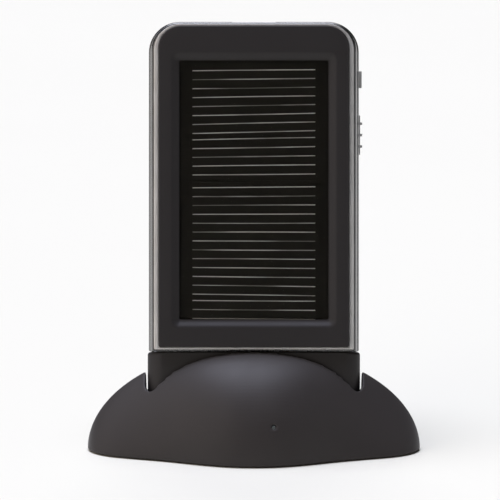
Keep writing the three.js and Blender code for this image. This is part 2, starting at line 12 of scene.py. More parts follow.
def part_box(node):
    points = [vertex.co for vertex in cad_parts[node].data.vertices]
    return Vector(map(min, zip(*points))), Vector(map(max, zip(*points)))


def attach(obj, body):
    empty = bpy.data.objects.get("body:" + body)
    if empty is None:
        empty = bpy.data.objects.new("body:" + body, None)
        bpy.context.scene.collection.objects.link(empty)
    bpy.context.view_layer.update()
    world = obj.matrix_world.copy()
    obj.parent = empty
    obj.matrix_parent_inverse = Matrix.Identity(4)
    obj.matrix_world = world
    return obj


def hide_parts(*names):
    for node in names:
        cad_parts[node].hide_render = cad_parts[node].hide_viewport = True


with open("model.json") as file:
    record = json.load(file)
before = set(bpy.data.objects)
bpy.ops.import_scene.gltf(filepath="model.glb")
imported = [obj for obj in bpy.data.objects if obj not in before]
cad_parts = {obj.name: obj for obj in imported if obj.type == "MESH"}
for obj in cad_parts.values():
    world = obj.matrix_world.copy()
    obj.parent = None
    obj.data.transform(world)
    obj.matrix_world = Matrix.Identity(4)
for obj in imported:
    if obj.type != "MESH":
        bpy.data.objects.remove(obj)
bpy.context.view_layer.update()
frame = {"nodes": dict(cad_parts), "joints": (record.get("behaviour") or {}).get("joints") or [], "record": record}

MM = 0.001

# ---------------------------------------------------------------- the frame's own places


def middle_of(node):
    low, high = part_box(node)
    return (low + high) / 2


def joint_axis(name):
    return Vector(next(joint["axis"] for joint in frame["joints"] if joint["name"] == name))


# The pack's own frame: x is its width, y runs from the solar side to the rear, z runs up its length.
UP = joint_axis("pack_lift").normalized()
LEAN = math.atan2(UP.y, UP.z)
TURN = Matrix.Rotation(-LEAN, 4, "X")
BATTERY_MIDDLE = Vector((0, -1.05, 48)) * MM
PACK = Matrix.Translation(middle_of("battery") - TURN @ BATTERY_MIDDLE) @ TURN
# The dock's own frame has the ridge of the dome over its x axis.
DOCK = Matrix.Translation((0, middle_of("foot_1").y, 0))

# Millimetres, in the pack's frame.
SEAM = 19.33
SEAM_GAP = 0.14
GAP = 0.15
SHELL = dict(half=29.9, top=114.4, corner=8.4, front=-5.8, wall=1.2)
BAND = dict(half=30.5, top=115, corner=9, front=-1.75, rear=5.8, wall=1.5)
FACE_MARGIN = dict(top=0.4, corner=0.8)
RIB = dict(inner=27.65, outer=28.75, height=0.4)
SHOULDER = dict(depth=3.5, rear=-2.4, width=1)
SKIRT = dict(outer=1.3, inner=2.3, front=-1.9, rear=-0.2)
CAP = dict(half=30.75, depth=6, edge=4.6, corner=9, top_corner=0.8, wall=1.8)
SLAB = dict(half=27.5, low=20.75, high=113.4, corner=6.5, front=-8.7, rear=-5.9)
WINDOW = dict(half=21.5, low=28.8, high=103.4, bevel=2.4, depth=0.95, rebate=1.5)
COVER = dict(front=4.7, rear=5.95, inset=1.8)
CELL_FRONT = -6.75
CELL_HALF = 17.9
KEY_Y = 1.6
BUTTON = (95.85, 100.7)
KNOB_SLOT = (80.7, 85.7)
USB_HOLE = ((-6.3, 6.3), (-1.1, 4.2), (110, 120))

# Millimetres, in the dock's frame.
DOME = dict(half=48.35, height=30.3, wall=2, rim=0.4)
BELLY = {
    "front": dict(wing=12.8, belly=10.8, spread=24, power=2.3),
    "rear": dict(wing=11.3, belly=12.2, spread=23, power=2.6),
}
POCKET = dict(half=31.2, depth=6.9, corner=2.4, floor=-0.3, wall=1.6, bottom=1.4)
STATUS_LIGHT = dict(x=5.6, z=11.4, radius=0.5)
INLET = dict(half=3.85, low=5.75, high=9.65)
PLUG_HOLE = ((-11.2, 11.2), (-1.9, 1.9), (-4, 4))
FOOT_RADIUS = 3.6

CORNER_STEPS = 14
SKIN_STEP = 0.32
RIM_RINGS = 2

# ---------------------------------------------------------------- meshes


def mesh_object(name, verts, faces, place=Matrix.Identity(4), smooth_angle=40):
    """A mesh object from millimetre points; place puts it in the row frame."""
    mesh = bpy.data.meshes.new(name)
    mesh.from_pydata([Vector(v) * MM for v in verts], [], faces)
    bm = bmesh.new()
    bm.from_mesh(mesh)
    bmesh.ops.recalc_face_normals(bm, faces=bm.faces)
    bm.to_mesh(mesh)
    bm.free()
    mesh.shade_smooth()
    mesh.set_sharp_from_angle(angle=math.radians(smooth_angle))
    obj = bpy.data.objects.new(name, mesh)
    bpy.context.scene.collection.objects.link(obj)
    obj.matrix_world = place
    return obj


def join_rings(rings, looped=False):
    """Vertices and faces of the skin over rings with the same number of points."""
    count = len(rings[0])
    verts = [point for ring in rings for point in ring]
    faces = []
    for ring in range(len(rings) if looped else len(rings) - 1):
        a = ring * count
        b = (ring + 1) % len(rings) * count
        for i in range(count):
            j = (i + 1) % count
            faces.append((a + i, a + j, b + j, b + i))
    if not looped:
        faces.append(tuple(range(count)))
        faces.append(tuple(range(len(verts) - count, len(verts))))
    return verts, faces


def rounded_rectangle(half, low, high, top_radius, foot_radius, steps=CORNER_STEPS):
    """Points of a rectangle with round corners, as (across, up)."""
    corners = (
        (half - foot_radius, low + foot_radius, foot_radius, -90),
        (half - top_radius, high - top_radius, top_radius, 0),
        (top_radius - half, high - top_radius, top_radius, 90),
        (foot_radius - half, low + foot_radius, foot_radius, 180),
    )
    points = []
    for across, up, radius, start in corners:
        for i in range(steps + 1):
            angle = math.radians(start + 90 * i / steps)
            points.append((across + radius * math.cos(angle), up + radius * math.sin(angle)))
    return points


def level(y, half, low, high, top_radius, foot_radius):
    """A rounded rectangle across the pack, at depth y."""
    outline = rounded_rectangle(half, low, high, top_radius, foot_radius)
    return [(x, y, z) for x, z in outline]


def box_parts(x, y, z):
    """Vertices and faces of a box, each axis as (low, high)."""
    verts = [(i, j, k) for i in x for j in y for k in z]
    faces = [(0, 1, 3, 2), (4, 6, 7, 5), (0, 4, 5, 1), (2, 3, 7, 6), (0, 2, 6, 4), (1, 5, 7, 3)]
    return verts, faces


def merged(parts):
    """One set of vertices and faces from several."""
    verts, faces = [], []
    for more_verts, more_faces in parts:
        start = len(verts)
        verts.extend(more_verts)
        faces.extend(tuple(start + i for i in face) for face in more_faces)
    return verts, faces


def turned(profile, axis, centre, sides=40):
    """A lathe body with a profile of (radius, along); centre is its place on the other two axes."""
    rings = []
    for radius, along in profile:
        ring = []
        for i in range(sides):
            angle = 2 * math.pi * i / sides
            a, b = centre[0] + radius * math.cos(angle), centre[1] + radius * math.sin(angle)
            ring.append((a, along, b) if axis == "y" else (a, b, along))
        rings.append(ring)
    return join_rings(rings)


def apply_modifiers(obj):
    depsgraph = bpy.context.evaluated_depsgraph_get()
    mesh = bpy.data.meshes.new_from_object(obj.evaluated_get(depsgraph))
    obj.modifiers.clear()
    obj.data = mesh


def boolean(obj, parts, operation="DIFFERENCE", place=None):
    """Cuts parts, given as (verts, faces) in obj's frame or in place, out of obj, or joins them to it."""
    for verts, faces in parts:
        tool = mesh_object("tool", verts, faces, obj.matrix_world if place is None else place)
        modifier = obj.modifiers.new("cut", "BOOLEAN")
        modifier.operation = operation
        modifier.solver = "EXACT"
        modifier.object = tool
        bpy.context.view_layer.update()
        apply_modifiers(obj)
        bpy.data.objects.remove(tool)


def soften(obj, width, segments=3, angle=35):
    """Rounds the sharp edges by width millimetres."""
    modifier = obj.modifiers.new("soft edges", "BEVEL")
    modifier.width = width * MM
    modifier.segments = segments
    modifier.limit_method = "ANGLE"
    modifier.angle_limit = math.radians(angle)
    modifier.harden_normals = True


def smooth(obj, angle=35):
    obj.data.shade_smooth()
    obj.data.set_sharp_from_angle(angle=math.radians(angle))


# ---------------------------------------------------------------- materials


class Look:
    """A node material under construction."""

    def __init__(self, name):
        self.material = bpy.data.materials.new(name)
        self.material.use_nodes = True
        self.tree = self.material.node_tree
        self.shader = self.tree.nodes["Principled BSDF"]
        coordinates = self.tree.nodes.new("ShaderNodeTexCoord")
        self.place = coordinates.outputs["Object"]

    def set(self, **values):
        for socket, value in values.items():
            self.shader.inputs[socket.replace("_", " ")].default_value = value
        return self

    def link(self, output, socket):
        self.tree.links.new(output, socket)

    def stretched(self, scale):
        """The object's own coordinates, scaled along each axis."""
        node = self.tree.nodes.new("ShaderNodeMapping")
        node.inputs["Scale"].default_value = scale
        self.link(self.place, node.inputs["Vector"])
        return node.outputs["Vector"]

    def noise(self, size, detail=3, roughness=0.55, stretch=None):
        """Noise whose blotches measure size millimetres."""
        node = self.tree.nodes.new("ShaderNodeTexNoise")
        node.inputs["Scale"].default_value = 1 / (size * MM)
        node.inputs["Detail"].default_value = detail
        node.inputs["Roughness"].default_value = roughness
        self.link(self.stretched(stretch) if stretch else self.place, node.inputs["Vector"])
        return node.outputs["Fac"]

    def cells(self, size):
        """Rounded pits about size millimetres apart."""
        node = self.tree.nodes.new("ShaderNodeTexVoronoi")
        node.inputs["Scale"].default_value = 1 / (size * MM)
        self.link(self.place, node.inputs["Vector"])
        return node.outputs["Distance"]

    def spread(self, value, low, high, start=0.3, end=0.7):
        """value between start and end, mapped to low and high."""
        node = self.tree.nodes.new("ShaderNodeMapRange")
        for socket, number in zip(("From Min", "From Max", "To Min", "To Max"), (start, end, low, high)):
            node.inputs[socket].default_value = number
        self.link(value, node.inputs["Value"])
        return node.outputs["Result"]

    def colours(self, value, stops):
        """A colour ramp over value; stops are (position, (r, g, b))."""
        node = self.tree.nodes.new("ShaderNodeValToRGB")
        ramp = node.color_ramp
        while len(ramp.elements) < len(stops):
            ramp.elements.new(0.5)
        for element, (position, colour) in zip(ramp.elements, stops):
            element.position = position
            element.color = (*colour, 1)
        self.link(value, node.inputs["Fac"])
        return node.outputs["Color"]

    def bump(self, height, strength, distance, below=None):
        """Raises the surface by height; distance is in millimetres."""
        node = self.tree.nodes.new("ShaderNodeBump")
        node.inputs["Strength"].default_value = strength
        node.inputs["Distance"].default_value = distance * MM
        self.link(height, node.inputs["Height"])
        if below is not None:
            self.link(below, node.inputs["Normal"])
        self.link(node.outputs["Normal"], self.shader.inputs["Normal"])
        return node.outputs["Normal"]

    def tint(self, output):
        self.link(output, self.shader.inputs["Base Color"])

    def dull(self, output):
        self.link(output, self.shader.inputs["Roughness"])


def shade(colour, factor):
    return tuple(channel * factor for channel in colour)


def moulded(name, colour, roughness, grain=0.35, grain_depth=0.012, sheen=0.0, specular=0.32):
    """Matt moulded plastic: fine grain, faint cloudiness and slightly polished patches."""
    look = Look(name)
    look.set(Specular_IOR_Level=specular, Sheen_Weight=sheen, Sheen_Roughness=0.5)
    clouds = look.noise(14, detail=4)
    look.tint(look.colours(clouds, ((0.3, shade(colour, 0.95)), (0.7, shade(colour, 1.05)))))
    look.dull(look.spread(look.noise(6, detail=5), roughness - 0.02, roughness + 0.03))
    pits = look.bump(look.cells(grain), 0.35, grain_depth)
    look.bump(look.noise(grain * 0.5, detail=2), 0.3, grain_depth, below=pits)
    return look.material


def metal(name, colour, roughness, brushed=None, scratches=0.0015):
    """Plated or satin metal with hairline marks; brushed stretches them along an axis."""
    look = Look(name)
    look.set(Metallic=1.0)
    clouds = look.noise(9, detail=3)
    look.tint(look.colours(clouds, ((0.3, shade(colour, 0.93)), (0.7, shade(colour, 1.04)))))
    hairs = look.noise(0.35, detail=4, stretch=brushed or (1, 1, 1))
    look.dull(look.spread(hairs, roughness * 0.8, roughness * 1.25))
    look.bump(hairs, 0.25, scratches)
    return look.material


def plain(name, colour, roughness, size=1.2, depth=0.01, **values):
    """Any other moulded or coated surface, with a soft mottle."""
    look = Look(name)
    look.set(**values)
    mottle = look.noise(size, detail=4)
    look.tint(look.colours(mottle, ((0.3, shade(colour, 0.8)), (0.7, shade(colour, 1.15)))))
    look.dull(look.spread(look.noise(size * 2), roughness * 0.85, roughness * 1.15))
    look.bump(mottle, 0.3, depth)
    return look.material


def board_material():
    """Green solder resist over a faint pattern of copper tracks."""
    look = Look("circuit board")
    look.set(IOR=1.5)
    tracks = look.tree.nodes.new("ShaderNodeTexBrick")
    tracks.inputs["Scale"].default_value = 260
    tracks.inputs["Mortar Size"].default_value = 0.03
    tracks.inputs["Color1"].default_value = (0.012, 0.075, 0.028, 1)
    tracks.inputs["Color2"].default_value = (0.010, 0.062, 0.024, 1)
    tracks.inputs["Mortar"].default_value = (0.03, 0.14, 0.05, 1)
    look.link(look.place, tracks.inputs["Vector"])
    look.tint(tracks.outputs["Color"])
    look.dull(look.spread(look.noise(2), 0.3, 0.42))
    look.bump(tracks.outputs["Fac"], 0.4, 0.02)
    return look.material


def cell_material():
    """Dark silicon with a faint crystal mottle; its anti-reflection coat keeps highlights weak."""
    look = Look("solar cell")
    look.set(Specular_IOR_Level=0.26)
    crystals = look.noise(3.5, detail=5, stretch=(0.5, 1, 1.6))
    look.tint(look.colours(crystals, ((0.3, (0.0106, 0.0095, 0.0054)), (0.7, (0.0134, 0.0120, 0.0074)))))
    look.dull(look.spread(look.noise(1.4), 0.38, 0.5))
    look.bump(look.noise(0.6), 0.15, 0.004)
    return look.material


def finger_material():
    """Printed silver, unevenly bright along each line."""
    look = Look("cell silver")
    look.set(Metallic=0.1)
    patches = look.noise(26, detail=2, stretch=(1, 1, 14))
    look.tint(look.colours(patches, ((0.36, (0.22, 0.215, 0.20)), (0.6, (1.0, 0.99, 0.96)))))
    look.dull(look.spread(look.noise(1.1), 0.32, 0.5))
    look.bump(look.noise(0.25), 0.4, 0.01)
    return look.material


def window_material():
    """Clear moulded plastic: see-through, with a glossy skin that carries a few faint smears."""
    look = Look("window")
    nodes = look.tree.nodes
    nodes.remove(look.shader)
    clear = nodes.new("ShaderNodeBsdfTransparent")
    clear.inputs["Color"].default_value = (0.94, 0.94, 0.935, 1)
    gloss = nodes.new("ShaderNodeBsdfGlossy")
    gloss.inputs["Color"].default_value = (1, 1, 1, 1)
    look.link(look.spread(look.noise(16, detail=2), 0.06, 0.1), gloss.inputs["Roughness"])
    fresnel = nodes.new("ShaderNodeFresnel")
    fresnel.inputs["IOR"].default_value = 1.3
    mix = nodes.new("ShaderNodeMixShader")
    look.link(fresnel.outputs["Fac"], mix.inputs["Fac"])
    look.link(clear.outputs["BSDF"], mix.inputs[1])
    look.link(gloss.outputs["BSDF"], mix.inputs[2])
    look.link(mix.outputs["Shader"], nodes["Material Output"].inputs["Surface"])
    return look.material


LOOKS = {
    "satin_metal": metal("satin metal", (0.80, 0.79, 0.77), 0.48, brushed=(1, 1, 0.06), scratches=0.0008),
    # The shoulder's polished metal gets a dark colour: painted shade standing for the dark surroundings it
    # reflects.
    "polished_shoulder_painted_dark": metal("polished shoulder painted dark", (0.17, 0.17, 0.17), 0.27, brushed=(1, 1, 0.06), scratches=0.0006),
    "polished_metal": metal("polished metal", (0.17, 0.17, 0.17), 0.22, scratches=0.0006),
    "key_metal": metal("key metal", (0.72, 0.72, 0.71), 0.42, scratches=0.001),
    "cover_black": moulded("cover black", (0.0145, 0.0135, 0.0142), 0.54),
    "cap_black": moulded("cap black", (0.0195, 0.0170, 0.0166), 0.55, grain=0.3),
    "frame_black": moulded("frame black", (0.0165, 0.0143, 0.0146), 0.52, grain=0.28),
    "dock_black": moulded("dock black", (0.0285, 0.0244, 0.0234), 0.5, grain=0.4, sheen=0.07, specular=0.28),
    "base_black": moulded("base black", (0.02, 0.02, 0.02), 0.6, grain=0.8, grain_depth=0.05),
    "panel_black": plain("panel black", (0.0089, 0.0070, 0.0035), 0.45, size=2, Specular_IOR_Level=0.26),
    "window": window_material(),
    "solar_cell": cell_material(),
    "cell_silver": finger_material(),
    "circuit_board": board_material(),
    "battery_pouch": metal("battery pouch", (0.55, 0.56, 0.58), 0.4, scratches=0.01),
    "foam": plain("foam", (0.03, 0.03, 0.03), 0.95, size=0.5, depth=0.15),
    "steel": metal("steel", (0.42, 0.42, 0.41), 0.32, brushed=(0.1, 1, 1), scratches=0.003),
    "screw_steel": metal("screw steel", (0.2, 0.2, 0.2), 0.35),
    "socket_black": plain("socket black", (0.01, 0.01, 0.01), 0.5),
    "contact_brass": metal("contact gold", (0.62, 0.42, 0.16), 0.28),
    "flex_cable": plain("flex cable", (0.25, 0.10, 0.013), 0.35),
    "lens": plain("lens", (0.62, 0.65, 0.65), 0.3, size=0.8, Subsurface_Weight=0.2, Subsurface_Scale=0.001),
    "smoked_lens": plain("smoked lens", (0.05, 0.062, 0.062), 0.4, size=0.8),
    "rubber": plain("rubber", (0.012, 0.012, 0.012), 0.85, size=0.4, depth=0.03),
    "red_wire": plain("red wire", (0.35, 0.012, 0.01), 0.45),
    "black_wire": plain("black wire", (0.008, 0.008, 0.008), 0.45),
}
SLOT_OF = {part["node"]: part["material_slot"] for part in frame["record"]["subparts"]}


def dress(obj, slot):
    obj.data.materials.clear()
    obj.data.materials.append(LOOKS[slot])


def piece(obj, body, slot, *nodes):
    """Finishes a new piece: its look, the body it rides on and the CAD nodes it stands for."""
    dress(obj, slot)
    if nodes:
        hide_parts(*nodes)
    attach(obj, body)
    return obj


# ---------------------------------------------------------------- pack


def arc_levels(make, start, end, steps):
    """Levels along a quarter turn: make(t) gives the level at t, an angle from start to end in degrees."""
    return [make(math.radians(start + (end - start) * i / steps)) for i in range(steps + 1)]


def shell_level(y, inset, lift=0.0):
    low, top = SEAM + SEAM_GAP + lift, SHELL["top"] - inset
    return level(y, SHELL["half"] - inset, low, top, SHELL["corner"] - inset, 0.4)


def face_level(y, inset, lift):
    """The same for the front of the face plate, whose margin is narrower along its top edge."""
    low, top = SEAM + SEAM_GAP + lift, SHELL["top"] - FACE_MARGIN["top"] * inset
    return level(y, SHELL["half"] - inset, low, top, SHELL["corner"] - FACE_MARGIN["corner"] * inset, 0.4)


def band_level(y, inset, lift=0.0):
    low, top = SEAM + SEAM_GAP + lift, BAND["top"] - inset
    return level(y, BAND["half"] - inset, low, top, BAND["corner"] - inset, 0.4)


def face_plate():
    """A low satin rib round the panel's seat, a fine groove, then a polished and rounded shoulder whose dark metal
    colour is painted shade, standing for the dark surroundings it reflects.
    """
    seat, rib_outer = SHELL["half"] - RIB["inner"], SHELL["half"] - RIB["outer"]
    front = SHELL["front"]
    top = front - RIB["height"]
    inner, outer = 0.06, 0.1
    rings = [face_level(front, seat, 1.13)]

    def inner_edge(t):
        return face_level(top + inner * (1 - math.sin(t)), seat - inner * (1 - math.cos(t)), 1.1)

    def outer_edge(t):
        return face_level(top + outer * (1 - math.cos(t)), rib_outer + outer * (1 - math.sin(t)), 0.8)

    def shoulder(t):
        y = SHOULDER["rear"] - SHOULDER["depth"] * math.cos(t)
        return face_level(y, SHOULDER["width"] * (1 - math.sin(t)), 0.15 * math.cos(t))

    rings += arc_levels(inner_edge, 0, 90, 6)
    rings += arc_levels(outer_edge, 0, 90, 5)
    rings.append(face_level(front + 0.3, rib_outer - 0.02, 0.77))
    shoulder_start = len(rings)
    rings.append(face_level(front + 0.3, rib_outer - 0.12, 0.72))
    rings += arc_levels(shoulder, 6, 90, 14)
    rings += [shell_level(SKIRT["front"] - 0.1, 0), shell_level(SKIRT["front"], 0.1)]
    shoulder_end = len(rings)
    rings.append(shell_level(SKIRT["front"], SKIRT["outer"], 1.3))
    rings.append(shell_level(SKIRT["rear"], SKIRT["outer"], 1.3))
    rings.append(shell_level(SKIRT["rear"], SKIRT["inner"], 2))
    rings.append(shell_level(front + SHELL["wall"], SKIRT["inner"], 2))
    verts, faces = join_rings(rings)
    obj = mesh_object("face_plate", verts, faces, PACK, smooth_angle=50)
    obj = piece(obj, "pack", "satin_metal", "front_shell")
    # The shoulder rings get the dark copy of the face plate's metal: painted shade on the shoulder.
    obj.data.materials.append(LOOKS["polished_shoulder_painted_dark"])
    around = len(rings[0])
    for face in obj.data.polygons:
        if all(shoulder_start * around <= v < shoulder_end * around for v in face.vertices):
            face.material_index = 1
    return obj


def polished_band():
    """The band round the sides, cut for the two keys and the output socket."""
    rings = [band_level(BAND["front"], 0.75), band_level(BAND["front"] + 0.05, 0.58)]
    rings += arc_levels(lambda t: band_level(0.2 - 1.85 * math.cos(t), 0.55 * (1 - math.sin(t))), 10, 90, 9)
    rings += [band_level(3.0, 0)]
    rings += arc_levels(
        lambda t: band_level(3.2 + 2.5 * math.sin(t), 0.95 * (1 - math.cos(t))), 10, 85, 9
    )
    rings += [band_level(BAND["rear"], 1.1)]
    rings += [band_level(BAND["rear"], BAND["wall"], 1), band_level(BAND["front"], BAND["wall"], 1)]
    verts, faces = join_rings(rings, looped=True)
    obj = mesh_object("polished_band", verts, faces, PACK)
    key_hole = rounded_slot(KEY_Y, 1.15, BUTTON[0] - GAP, BUTTON[1] + GAP, corner=0.4)
    knob_hole = rounded_slot(KEY_Y, 0.75, *KNOB_SLOT, corner=0.7)
    boolean(obj, [key_hole, knob_hole, box_parts(*USB_HOLE)])
    smooth(obj)
    return piece(obj, "pack", "polished_metal", "side_band")


def rounded_slot(y, half, low, high, corner, x=(27, 33)):
    """A prism through the band's right-hand side, with round corners."""
    outline = rounded_rectangle(half, low, high, corner, corner, steps=8)
    return join_rings([[(across, y + a, b) for a, b in outline] for across in x])


def back_cover():
    """The rear cover: a flat plate with a rounded edge, screw recesses and holes for the light guides."""
    front, rear, inset = COVER["front"], COVER["rear"], COVER["inset"]
    edge, foot = 0.5, 1.4

    def rounding(t):
        margin = edge * (1 - math.cos(t))
        return band_level(rear - edge * (1 - math.sin(t)), inset + margin, foot + margin)

    rings = [band_level(front, inset, foot), band_level(rear - edge, inset, foot)]
    rings += arc_levels(rounding, 15, 90, 6)
    verts, faces = join_rings(rings)
    obj = mesh_object("back_cover", verts, faces, PACK)
    screws = [in_pack(f"rear_screw_{i}") for i in range(1, 5)]
    lights = [in_pack(f"light_pipe_{i}") for i in range(1, 5)]
    recesses = [turned(((1.75, rear - 0.75), (1.75, 8)), "y", (p.x, p.z)) for p in screws]
    shafts = [turned(((1, 3), (1, 8)), "y", (p.x, p.z)) for p in screws]
    windows = [turned(((1.05, 3), (1.05, 8)), "y", (p.x, p.z)) for p in lights]
    boolean(obj, recesses + shafts + windows)
    smooth(obj)
    return piece(obj, "pack", "cover_black", "rear_cover")


def in_pack(node):
    """The middle of a CAD node in the pack's frame, in millimetres."""
    return (PACK.inverted() @ middle_of(node)) / MM


def end_cap():
    """The black bottom cap: a cup with pillowed edges and the mouth of the charging socket."""
    high = SEAM - SEAM_GAP

    def cap_level(y, inset):
        return level(y, CAP["half"] - inset, inset, high, CAP["top_corner"], CAP["corner"] - inset)

    flat = CAP["depth"] - CAP["edge"]
    rings = arc_levels(
        lambda t: cap_level(-flat - CAP["edge"] * math.cos(t), CAP["edge"] * (1 - math.sin(t))), 0, 90, 12
    )
    rings += arc_levels(
        lambda t: cap_level(flat + CAP["edge"] * math.sin(t), CAP["edge"] * (1 - math.cos(t))), 0, 90, 12
    )
    verts, faces = join_rings(rings)
    obj = mesh_object("end_cap", verts, faces, PACK)
    depth = CAP["depth"] - CAP["wall"]
    half = CAP["half"] - CAP["wall"] - 1.2
    cavity = join_rings([level(y, half, 2, SEAM + 5, 0.5, 7) for y in (-depth, depth)])
    mouth = join_rings([[(x, y, z) for x, y in slot_outline(11, 1.75)] for z in (-2, 4)])
    boolean(obj, [cavity, mouth])
    boolean(obj, [collar(half + 1.9, depth + 0.9, high)], "UNION")
    smooth(obj)
    return piece(obj, "pack", "cap_black", "bottom_cap")


def collar(half, depth, high):
    """A step on the cap's rim that stands up into the seam, so that no light passes through it."""
    low, top, wall = high - 0.6, SEAM + SEAM_GAP - 0.03, 1.1
    outer = rounded_rectangle(half, -depth, depth, 2, 2, steps=4)
    inner = rounded_rectangle(half - wall, -depth + wall, depth - wall, 1, 1, steps=4)
    corners = ((outer, low), (outer, top), (inner, top), (inner, low))
    return join_rings([[(x, y, z) for x, y in plan] for plan, z in corners], looped=True)


def slot_outline(half, depth):
    return rounded_rectangle(half, -depth, depth, 0.6, 0.6, steps=5)


def slab_frame():
    """The black frame of the solar panel, with a bevelled and stepped opening."""
    front, rear = SLAB["front"], SLAB["rear"]

    def outer(y, inset):
        low, high = SLAB["low"] + inset, SLAB["high"] - inset
        return level(y, SLAB["half"] - inset, low, high, SLAB["corner"] - inset, 0.7 - inset)

    def opening(y, grow, radius):
        half, low, high = WINDOW["half"] + grow, WINDOW["low"] - grow, WINDOW["high"] + grow
        return level(y, half, low, high, radius, radius)

    edge = 0.3
    rings = [outer(rear, 0.2), outer(rear + 0.12, 0.1)]
    rings += arc_levels(
        lambda t: outer(front + edge * (1 - math.sin(t)), 0.1 + edge * (1 - math.cos(t))), 0, 90, 8
    )
    foot = front + WINDOW["depth"]
    slope = WINDOW["bevel"]
    rings.append(opening(front, slope + 0.35, 2.8))
    for i in range(9):
        t = i / 8
        ease = t * t * (3 - 2 * t)
        rings.append(opening(front + WINDOW["depth"] * ease, slope * (1 - t), 0.5 + 1.9 * (1 - t)))
    step = foot + 0.3
    rings += [opening(foot + 0.05, -0.02, 0.5), opening(step, 0, 0.5)]
    rings += [opening(step, WINDOW["rebate"], 0.6), opening(rear, WINDOW["rebate"], 0.6)]
    verts, faces = join_rings(rings, looped=True)
    obj = mesh_object("slab_frame", verts, faces, PACK, smooth_angle=50)
    return piece(obj, "pack", "frame_black", "solar_frame")


# Finger lines of the four shingled strips: how many, where the top and bottom ones run, and how much a
# line rises to the right at the top and at the bottom of the strip.
FINGERS = (
    dict(count=8, top=100.6, foot=82.8, rise=(0.3, 0.85)),
    dict(count=5, top=80.9, foot=70.6, rise=(0.7, 0.3)),
    dict(count=13, top=66.9, foot=35.9, rise=(0.3, -0.5)),
    dict(count=3, top=34.2, foot=28.95, rise=(-0.2, -0.3)),
)


def ribbon(path, width, y, thickness):
    """A flat line raised from the cell, along path as (x, z)."""
    rings = []
    for x, z in path:
        low, high = z - width / 2, z + width / 2
        top = y - thickness
        rings.append([(x, y, low), (x, top, low + width * 0.2), (x, top, high - width * 0.2), (x, y, high)])
    return join_rings(rings)


def cell_fingers():
    """Printed silver lines across each strip of the panel."""
    steps = 30
    for number, strip in enumerate(FINGERS, 1):
        lines = []
        for i in range(strip["count"]):
            t = i / (strip["count"] - 1)
            height = strip["top"] + (strip["foot"] - strip["top"]) * t
            rise = strip["rise"][0] + (strip["rise"][1] - strip["rise"][0]) * t
            wave = 0.05 * math.sin(2.1 * i + number)
            path = []
            for j in range(steps + 1):
                across = -1 + 2 * j / steps
                sag = wave * (1 - across * across)
                path.append((across * (CELL_HALF - 0.25), height + rise * across / 2 + sag))
            lines.append(ribbon(path, 0.25, CELL_FRONT + 0.005, 0.035))
        verts, faces = merged(lines)
        obj = mesh_object(f"cell_fingers_{number}", verts, faces, PACK)
        piece(obj, "pack", "cell_silver")


def contact_strips(name, body, place, strips):
    """Gilded contacts: each strip is a box as its three spans."""
    verts, faces = merged([box_parts(*strip) for strip in strips])
    obj = mesh_object(name, verts, faces, place)
    soften(obj, 0.06, segments=2)
    return piece(obj, body, "contact_brass")


def contacts():
    usb = [((x - 0.55, x + 0.55), (1.84, 1.92), (104.4, 112.2)) for x in (-3.5, -1.2, 1.2, 3.5)]
    contact_strips("usb_contacts", "pack", PACK, usb)
    pitch = 1.1
    rows = [(-8.25 + pitch * i, side) for i in range(16) for side in (-1, 1)]
    plug = [
        ((x - 0.3, x + 0.3), (min(side * 0.93, side * 1.02), max(side * 0.93, side * 1.02)), (0.8, 5.2))
        for x, side in rows
    ]
    contact_strips("plug_contacts", "dock", PACK, plug)
    inlet = [((x - 0.2, x + 0.2), (14.9, 20.2), (7.22, 7.32)) for x in (-1.6, -0.8, 0, 0.8, 1.6)]
    contact_strips("inlet_contacts", "dock", DOCK, inlet)


def cross_head(name, node, body, place, axis, centre, head, shank):
    """A pan-head screw with a cross recess. head is (radius, outer end, inner end), shank (radius, end)."""
    radius, outer, inner = head
    way = 1 if inner > outer else -1
    crown = [(radius * math.sin(t), outer + way * 0.3 * (1 - math.cos(t))) for t in quarter_turn(6)]
    rim = [(radius, inner)]
    stem = [(shank[0], inner), (shank[0], shank[1] - way * 0.4), (shank[0] * 0.55, shank[1])]
    verts, faces = turned([(0.02, outer)] + crown[1:] + rim + stem, axis, centre)
    obj = mesh_object(name, verts, faces, place)
    depth = sorted((outer - way * 0.2, outer + way * 0.4))
    arm, half = radius * 0.6, radius * 0.14
    a, b = centre
    spans = [((a - arm, a + arm), (b - half, b + half)), ((a - half, a + half), (b - arm, b + arm))]
    cuts = [box_parts(s, depth, t) if axis == "y" else box_parts(s, t, depth) for s, t in spans]
    boolean(obj, cuts)
    smooth(obj)
    return piece(obj, body, "screw_steel", node)


def quarter_turn(steps):
    return [math.pi / 2 * i / steps for i in range(steps + 1)]


def screws():
    for i in range(1, 5):
        p = in_pack(f"rear_screw_{i}")
        head = (1.6, COVER["rear"] - 0.1, COVER["rear"] - 0.65)
        cross_head(f"case_screw_{i}", f"rear_screw_{i}", "pack", PACK, "y", (p.x, p.z), head, (0.75, -2))
    for i in range(1, 5):
        p = middle_of(f"dock_screw_{i}") / MM
        head, shank = (1.95, 0.5, 1.05), (1.05, 8.2)
        place = Matrix.Identity(4)
        cross_head(f"base_screw_{i}", f"dock_screw_{i}", "dock", place, "z", (p.x, p.y), head, shank)
    for i in range(1, 3):
        p = in_pack(f"socket_screw_{i}")
        head = (1.3, 0.2, 0.75)
        cross_head(f"mouth_screw_{i}", f"socket_screw_{i}", "pack", PACK, "z", (p.x, p.y), head, (0.65, 5.2))


# ---------------------------------------------------------------- dock


def reach(x, side, inset=0.0):
    """How far the dome reaches from its ridge at x."""
    shape = BELLY[side]
    across = min(abs(x) / (DOME["half"] - inset), 1)
    wings = (shape["wing"] - inset) * math.sqrt(1 - across**6)
    return wings + shape["belly"] * math.exp(-((abs(x) / shape["spread"]) ** shape["power"]))


def section_power(x):
    """The cross-section at x is full in the middle and sharpens towards the wings."""
    return 1.3 + 0.72 * math.exp(-((abs(x) / 26.5) ** 4))


